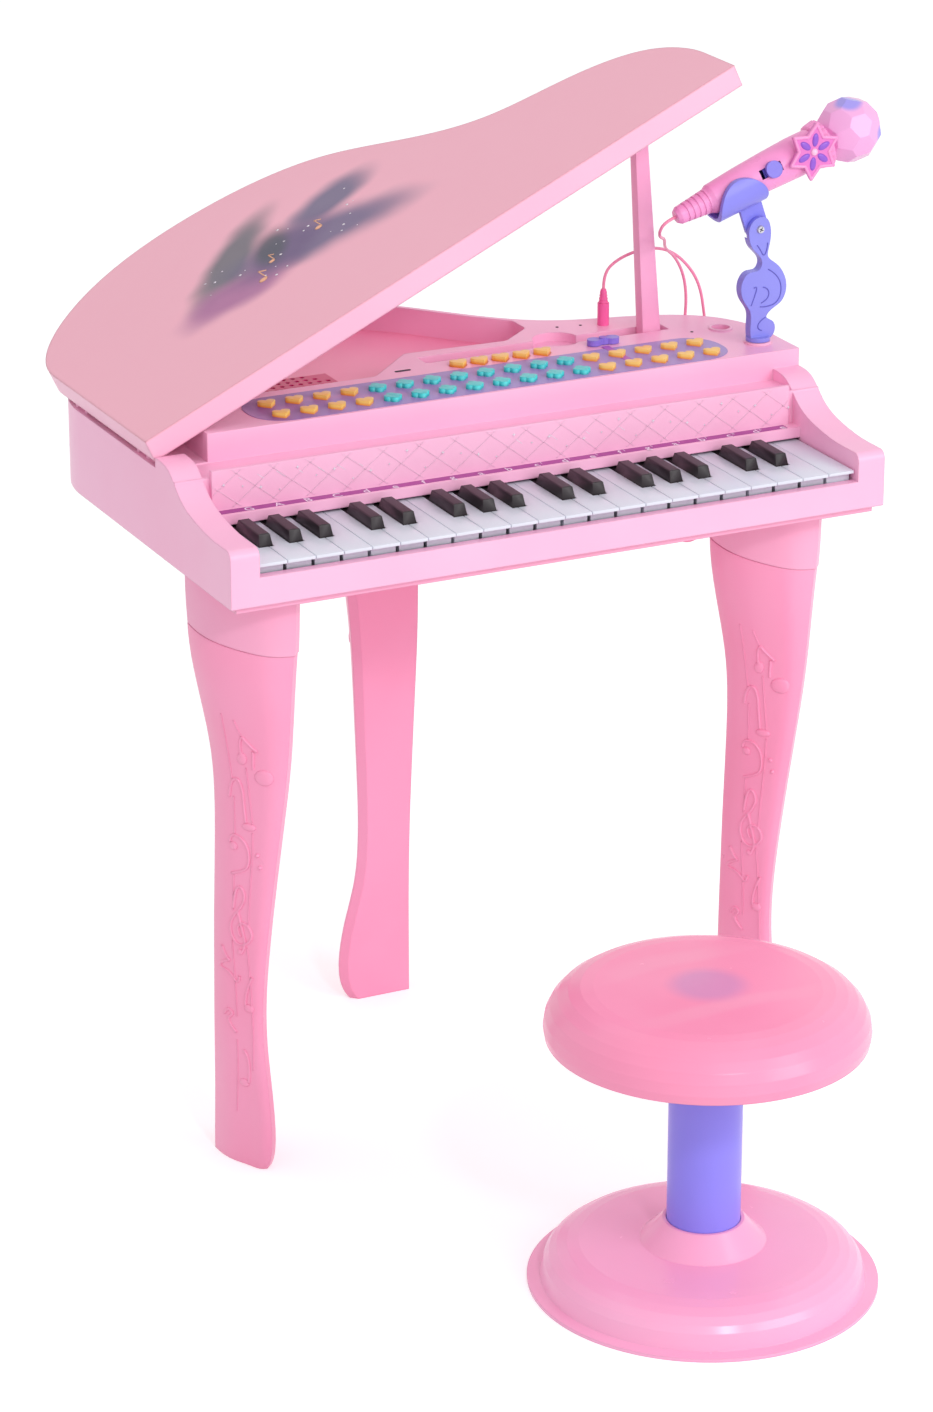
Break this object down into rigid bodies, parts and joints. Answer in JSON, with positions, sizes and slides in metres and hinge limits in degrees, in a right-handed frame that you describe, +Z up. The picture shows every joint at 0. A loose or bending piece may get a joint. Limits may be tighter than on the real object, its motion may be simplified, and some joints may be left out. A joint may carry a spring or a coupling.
{
  "type": "toy keyboard",
  "caption": "Child's grand-piano-shaped keyboard on three legs with a propped lid, a microphone on a scrolled stand and a round pedestal stool.",
  "frame": {"origin": "on the floor, at the middle of the footprint of keyboard and stool together, without the free cord", "axes": "+Z up; +X towards the treble keys; +Y from the player towards the keyboard's rear"},
  "size_m": [0.562, 0.7312, 0.7093],
  "materials": {
    "case": "satin moulded",
    "lid": "satin moulded with a soft airbrushed patch",
    "ivory": "polished",
    "ebony": "polished",
    "heart": "satin",
    "clover": "satin",
    "trim": "satin moulded",
    "board": "plain",
    "speaker": "plain",
    "microphone": "satin moulded",
    "cord": "satin",
    "seat": "satin moulded"
  },
  "bodies": {
    "case": {"upper_case": "case", "lower_case": "case", "leg_left": "case", "leg_right": "case", "leg_rear": "case", "circuit_board": "board", "speaker": "speaker", "battery_door": "case", "mic_cord": "cord", "mic_plug": "cord"},
    "lid": {"lid": "lid"},
    "prop": {"prop_post": "case"},
    "stand": {"mic_stand": "trim"},
    "clamp": {"mic_clamp": "trim"},
    "microphone": {"mic_body": "microphone", "mic_head": "microphone"},
    "mic_slider": {"mic_switch": "trim"},
    "hearts": {"heart_buttons": "heart"},
    "clovers": {"clover_buttons": "clover"},
    "switch": {"power_switch": "trim"},
    "stool": {"stool_seat": "seat", "stool_column": "trim", "stool_base": "case"},
    "white_key_01": {"white_key_01": "ivory"},
    "white_key_02": {"white_key_02": "ivory"},
    "white_key_03": {"white_key_03": "ivory"},
    "white_key_04": {"white_key_04": "ivory"},
    "white_key_05": {"white_key_05": "ivory"},
    "white_key_06": {"white_key_06": "ivory"},
    "white_key_07": {"white_key_07": "ivory"},
    "white_key_08": {"white_key_08": "ivory"},
    "white_key_09": {"white_key_09": "ivory"},
    "white_key_10": {"white_key_10": "ivory"},
    "white_key_11": {"white_key_11": "ivory"},
    "white_key_12": {"white_key_12": "ivory"},
    "white_key_13": {"white_key_13": "ivory"},
    "white_key_14": {"white_key_14": "ivory"},
    "white_key_15": {"white_key_15": "ivory"},
    "white_key_16": {"white_key_16": "ivory"},
    "white_key_17": {"white_key_17": "ivory"},
    "white_key_18": {"white_key_18": "ivory"},
    "white_key_19": {"white_key_19": "ivory"},
    "white_key_20": {"white_key_20": "ivory"},
    "white_key_21": {"white_key_21": "ivory"},
    "white_key_22": {"white_key_22": "ivory"},
    "black_key_01": {"black_key_01": "ebony"},
    "black_key_02": {"black_key_02": "ebony"},
    "black_key_03": {"black_key_03": "ebony"},
    "black_key_04": {"black_key_04": "ebony"},
    "black_key_05": {"black_key_05": "ebony"},
    "black_key_06": {"black_key_06": "ebony"},
    "black_key_07": {"black_key_07": "ebony"},
    "black_key_08": {"black_key_08": "ebony"},
    "black_key_09": {"black_key_09": "ebony"},
    "black_key_10": {"black_key_10": "ebony"},
    "black_key_11": {"black_key_11": "ebony"},
    "black_key_12": {"black_key_12": "ebony"},
    "black_key_13": {"black_key_13": "ebony"},
    "black_key_14": {"black_key_14": "ebony"},
    "black_key_15": {"black_key_15": "ebony"}
  },
  "joints": [
    {"name": "lid_hinge", "type": "hinge", "parent": "case", "child": "lid", "pos_m": [-0.26695, 0.09524, 0.49], "axis": [0, -1, 0], "range_deg": [0, 12]},
    {"name": "prop_fold", "type": "hinge", "parent": "case", "child": "prop", "pos_m": [0.13705, 0.17824, 0.496], "axis": [0, -1, 0], "range_deg": [0, 86]},
    {"name": "stand_swivel", "type": "hinge", "parent": "case", "child": "stand", "pos_m": [0.18955, 0.11524, 0.5063], "axis": [0, 0, 1], "range_deg": [-30, 30]},
    {"name": "clamp_tilt", "type": "hinge", "parent": "stand", "child": "clamp", "pos_m": [0.18765, 0.11524, 0.5868], "axis": [0, 1, 0], "range_deg": [0, 12]},
    {"name": "mic_lift", "type": "slide", "parent": "clamp", "child": "microphone", "axis": [0.9455, 0, 0.3256], "range_m": [0, 0.03]},
    {"name": "mic_slider_slide", "type": "slide", "parent": "microphone", "child": "mic_slider", "axis": [0.9455, 0, 0.3256], "range_m": [0, 0.005]},
    {"name": "hearts_press", "type": "slide", "parent": "case", "child": "hearts", "axis": [0, 0, -1], "range_m": [0, 0.0012], "stiffness_N_per_m": 400, "springref_m": -0.002},
    {"name": "clovers_press", "type": "slide", "parent": "case", "child": "clovers", "axis": [0, 0, -1], "range_m": [0, 0.0012], "stiffness_N_per_m": 400, "springref_m": -0.002},
    {"name": "power_slide", "type": "slide", "parent": "case", "child": "switch", "axis": [1, 0, 0], "range_m": [0, 0.003]},
    {"name": "stool_place", "type": "slide", "parent": "case", "child": "stool", "axis": [0, -1, 0], "range_m": [0, 0.2]},
    {"name": "white_key_01_press", "type": "hinge", "parent": "case", "child": "white_key_01", "pos_m": [-0.03295, 0.07524, 0.446], "axis": [1, 0, 0], "range_deg": [0, 2], "stiffness_Nm_per_rad": 0.6, "springref_deg": -1.72},
    {"name": "white_key_02_press", "type": "hinge", "parent": "case", "child": "white_key_02", "pos_m": [-0.03295, 0.07524, 0.446], "axis": [1, 0, 0], "range_deg": [0, 2], "stiffness_Nm_per_rad": 0.6, "springref_deg": -1.72},
    {"name": "white_key_03_press", "type": "hinge", "parent": "case", "child": "white_key_03", "pos_m": [-0.03295, 0.07524, 0.446], "axis": [1, 0, 0], "range_deg": [0, 2], "stiffness_Nm_per_rad": 0.6, "springref_deg": -1.72},
    {"name": "white_key_04_press", "type": "hinge", "parent": "case", "child": "white_key_04", "pos_m": [-0.03295, 0.07524, 0.446], "axis": [1, 0, 0], "range_deg": [0, 2], "stiffness_Nm_per_rad": 0.6, "springref_deg": -1.72},
    {"name": "white_key_05_press", "type": "hinge", "parent": "case", "child": "white_key_05", "pos_m": [-0.03295, 0.07524, 0.446], "axis": [1, 0, 0], "range_deg": [0, 2], "stiffness_Nm_per_rad": 0.6, "springref_deg": -1.72},
    {"name": "white_key_06_press", "type": "hinge", "parent": "case", "child": "white_key_06", "pos_m": [-0.03295, 0.07524, 0.446], "axis": [1, 0, 0], "range_deg": [0, 2], "stiffness_Nm_per_rad": 0.6, "springref_deg": -1.72},
    {"name": "white_key_07_press", "type": "hinge", "parent": "case", "child": "white_key_07", "pos_m": [-0.03295, 0.07524, 0.446], "axis": [1, 0, 0], "range_deg": [0, 2], "stiffness_Nm_per_rad": 0.6, "springref_deg": -1.72},
    {"name": "white_key_08_press", "type": "hinge", "parent": "case", "child": "white_key_08", "pos_m": [-0.03295, 0.07524, 0.446], "axis": [1, 0, 0], "range_deg": [0, 2], "stiffness_Nm_per_rad": 0.6, "springref_deg": -1.72},
    {"name": "white_key_09_press", "type": "hinge", "parent": "case", "child": "white_key_09", "pos_m": [-0.03295, 0.07524, 0.446], "axis": [1, 0, 0], "range_deg": [0, 2], "stiffness_Nm_per_rad": 0.6, "springref_deg": -1.72},
    {"name": "white_key_10_press", "type": "hinge", "parent": "case", "child": "white_key_10", "pos_m": [-0.03295, 0.07524, 0.446], "axis": [1, 0, 0], "range_deg": [0, 2], "stiffness_Nm_per_rad": 0.6, "springref_deg": -1.72},
    {"name": "white_key_11_press", "type": "hinge", "parent": "case", "child": "white_key_11", "pos_m": [-0.03295, 0.07524, 0.446], "axis": [1, 0, 0], "range_deg": [0, 2], "stiffness_Nm_per_rad": 0.6, "springref_deg": -1.72},
    {"name": "white_key_12_press", "type": "hinge", "parent": "case", "child": "white_key_12", "pos_m": [-0.03295, 0.07524, 0.446], "axis": [1, 0, 0], "range_deg": [0, 2], "stiffness_Nm_per_rad": 0.6, "springref_deg": -1.72},
    {"name": "white_key_13_press", "type": "hinge", "parent": "case", "child": "white_key_13", "pos_m": [-0.03295, 0.07524, 0.446], "axis": [1, 0, 0], "range_deg": [0, 2], "stiffness_Nm_per_rad": 0.6, "springref_deg": -1.72},
    {"name": "white_key_14_press", "type": "hinge", "parent": "case", "child": "white_key_14", "pos_m": [-0.03295, 0.07524, 0.446], "axis": [1, 0, 0], "range_deg": [0, 2], "stiffness_Nm_per_rad": 0.6, "springref_deg": -1.72},
    {"name": "white_key_15_press", "type": "hinge", "parent": "case", "child": "white_key_15", "pos_m": [-0.03295, 0.07524, 0.446], "axis": [1, 0, 0], "range_deg": [0, 2], "stiffness_Nm_per_rad": 0.6, "springref_deg": -1.72},
    {"name": "white_key_16_press", "type": "hinge", "parent": "case", "child": "white_key_16", "pos_m": [-0.03295, 0.07524, 0.446], "axis": [1, 0, 0], "range_deg": [0, 2], "stiffness_Nm_per_rad": 0.6, "springref_deg": -1.72},
    {"name": "white_key_17_press", "type": "hinge", "parent": "case", "child": "white_key_17", "pos_m": [-0.03295, 0.07524, 0.446], "axis": [1, 0, 0], "range_deg": [0, 2], "stiffness_Nm_per_rad": 0.6, "springref_deg": -1.72},
    {"name": "white_key_18_press", "type": "hinge", "parent": "case", "child": "white_key_18", "pos_m": [-0.03295, 0.07524, 0.446], "axis": [1, 0, 0], "range_deg": [0, 2], "stiffness_Nm_per_rad": 0.6, "springref_deg": -1.72},
    {"name": "white_key_19_press", "type": "hinge", "parent": "case", "child": "white_key_19", "pos_m": [-0.03295, 0.07524, 0.446], "axis": [1, 0, 0], "range_deg": [0, 2], "stiffness_Nm_per_rad": 0.6, "springref_deg": -1.72},
    {"name": "white_key_20_press", "type": "hinge", "parent": "case", "child": "white_key_20", "pos_m": [-0.03295, 0.07524, 0.446], "axis": [1, 0, 0], "range_deg": [0, 2], "stiffness_Nm_per_rad": 0.6, "springref_deg": -1.72},
    {"name": "white_key_21_press", "type": "hinge", "parent": "case", "child": "white_key_21", "pos_m": [-0.03295, 0.07524, 0.446], "axis": [1, 0, 0], "range_deg": [0, 2], "stiffness_Nm_per_rad": 0.6, "springref_deg": -1.72},
    {"name": "white_key_22_press", "type": "hinge", "parent": "case", "child": "white_key_22", "pos_m": [-0.03295, 0.07524, 0.446], "axis": [1, 0, 0], "range_deg": [0, 2], "stiffness_Nm_per_rad": 0.6, "springref_deg": -1.72},
    {"name": "black_key_01_press", "type": "hinge", "parent": "case", "child": "black_key_01", "pos_m": [-0.03295, 0.07524, 0.446], "axis": [1, 0, 0], "range_deg": [0, 2], "stiffness_Nm_per_rad": 0.6, "springref_deg": -1.72},
    {"name": "black_key_02_press", "type": "hinge", "parent": "case", "child": "black_key_02", "pos_m": [-0.03295, 0.07524, 0.446], "axis": [1, 0, 0], "range_deg": [0, 2], "stiffness_Nm_per_rad": 0.6, "springref_deg": -1.72},
    {"name": "black_key_03_press", "type": "hinge", "parent": "case", "child": "black_key_03", "pos_m": [-0.03295, 0.07524, 0.446], "axis": [1, 0, 0], "range_deg": [0, 2], "stiffness_Nm_per_rad": 0.6, "springref_deg": -1.72},
    {"name": "black_key_04_press", "type": "hinge", "parent": "case", "child": "black_key_04", "pos_m": [-0.03295, 0.07524, 0.446], "axis": [1, 0, 0], "range_deg": [0, 2], "stiffness_Nm_per_rad": 0.6, "springref_deg": -1.72},
    {"name": "black_key_05_press", "type": "hinge", "parent": "case", "child": "black_key_05", "pos_m": [-0.03295, 0.07524, 0.446], "axis": [1, 0, 0], "range_deg": [0, 2], "stiffness_Nm_per_rad": 0.6, "springref_deg": -1.72},
    {"name": "black_key_06_press", "type": "hinge", "parent": "case", "child": "black_key_06", "pos_m": [-0.03295, 0.07524, 0.446], "axis": [1, 0, 0], "range_deg": [0, 2], "stiffness_Nm_per_rad": 0.6, "springref_deg": -1.72},
    {"name": "black_key_07_press", "type": "hinge", "parent": "case", "child": "black_key_07", "pos_m": [-0.03295, 0.07524, 0.446], "axis": [1, 0, 0], "range_deg": [0, 2], "stiffness_Nm_per_rad": 0.6, "springref_deg": -1.72},
    {"name": "black_key_08_press", "type": "hinge", "parent": "case", "child": "black_key_08", "pos_m": [-0.03295, 0.07524, 0.446], "axis": [1, 0, 0], "range_deg": [0, 2], "stiffness_Nm_per_rad": 0.6, "springref_deg": -1.72},
    {"name": "black_key_09_press", "type": "hinge", "parent": "case", "child": "black_key_09", "pos_m": [-0.03295, 0.07524, 0.446], "axis": [1, 0, 0], "range_deg": [0, 2], "stiffness_Nm_per_rad": 0.6, "springref_deg": -1.72},
    {"name": "black_key_10_press", "type": "hinge", "parent": "case", "child": "black_key_10", "pos_m": [-0.03295, 0.07524, 0.446], "axis": [1, 0, 0], "range_deg": [0, 2], "stiffness_Nm_per_rad": 0.6, "springref_deg": -1.72},
    {"name": "black_key_11_press", "type": "hinge", "parent": "case", "child": "black_key_11", "pos_m": [-0.03295, 0.07524, 0.446], "axis": [1, 0, 0], "range_deg": [0, 2], "stiffness_Nm_per_rad": 0.6, "springref_deg": -1.72},
    {"name": "black_key_12_press", "type": "hinge", "parent": "case", "child": "black_key_12", "pos_m": [-0.03295, 0.07524, 0.446], "axis": [1, 0, 0], "range_deg": [0, 2], "stiffness_Nm_per_rad": 0.6, "springref_deg": -1.72},
    {"name": "black_key_13_press", "type": "hinge", "parent": "case", "child": "black_key_13", "pos_m": [-0.03295, 0.07524, 0.446], "axis": [1, 0, 0], "range_deg": [0, 2], "stiffness_Nm_per_rad": 0.6, "springref_deg": -1.72},
    {"name": "black_key_14_press", "type": "hinge", "parent": "case", "child": "black_key_14", "pos_m": [-0.03295, 0.07524, 0.446], "axis": [1, 0, 0], "range_deg": [0, 2], "stiffness_Nm_per_rad": 0.6, "springref_deg": -1.72},
    {"name": "black_key_15_press", "type": "hinge", "parent": "case", "child": "black_key_15", "pos_m": [-0.03295, 0.07524, 0.446], "axis": [1, 0, 0], "range_deg": [0, 2], "stiffness_Nm_per_rad": 0.6, "springref_deg": -1.72}
  ]
}
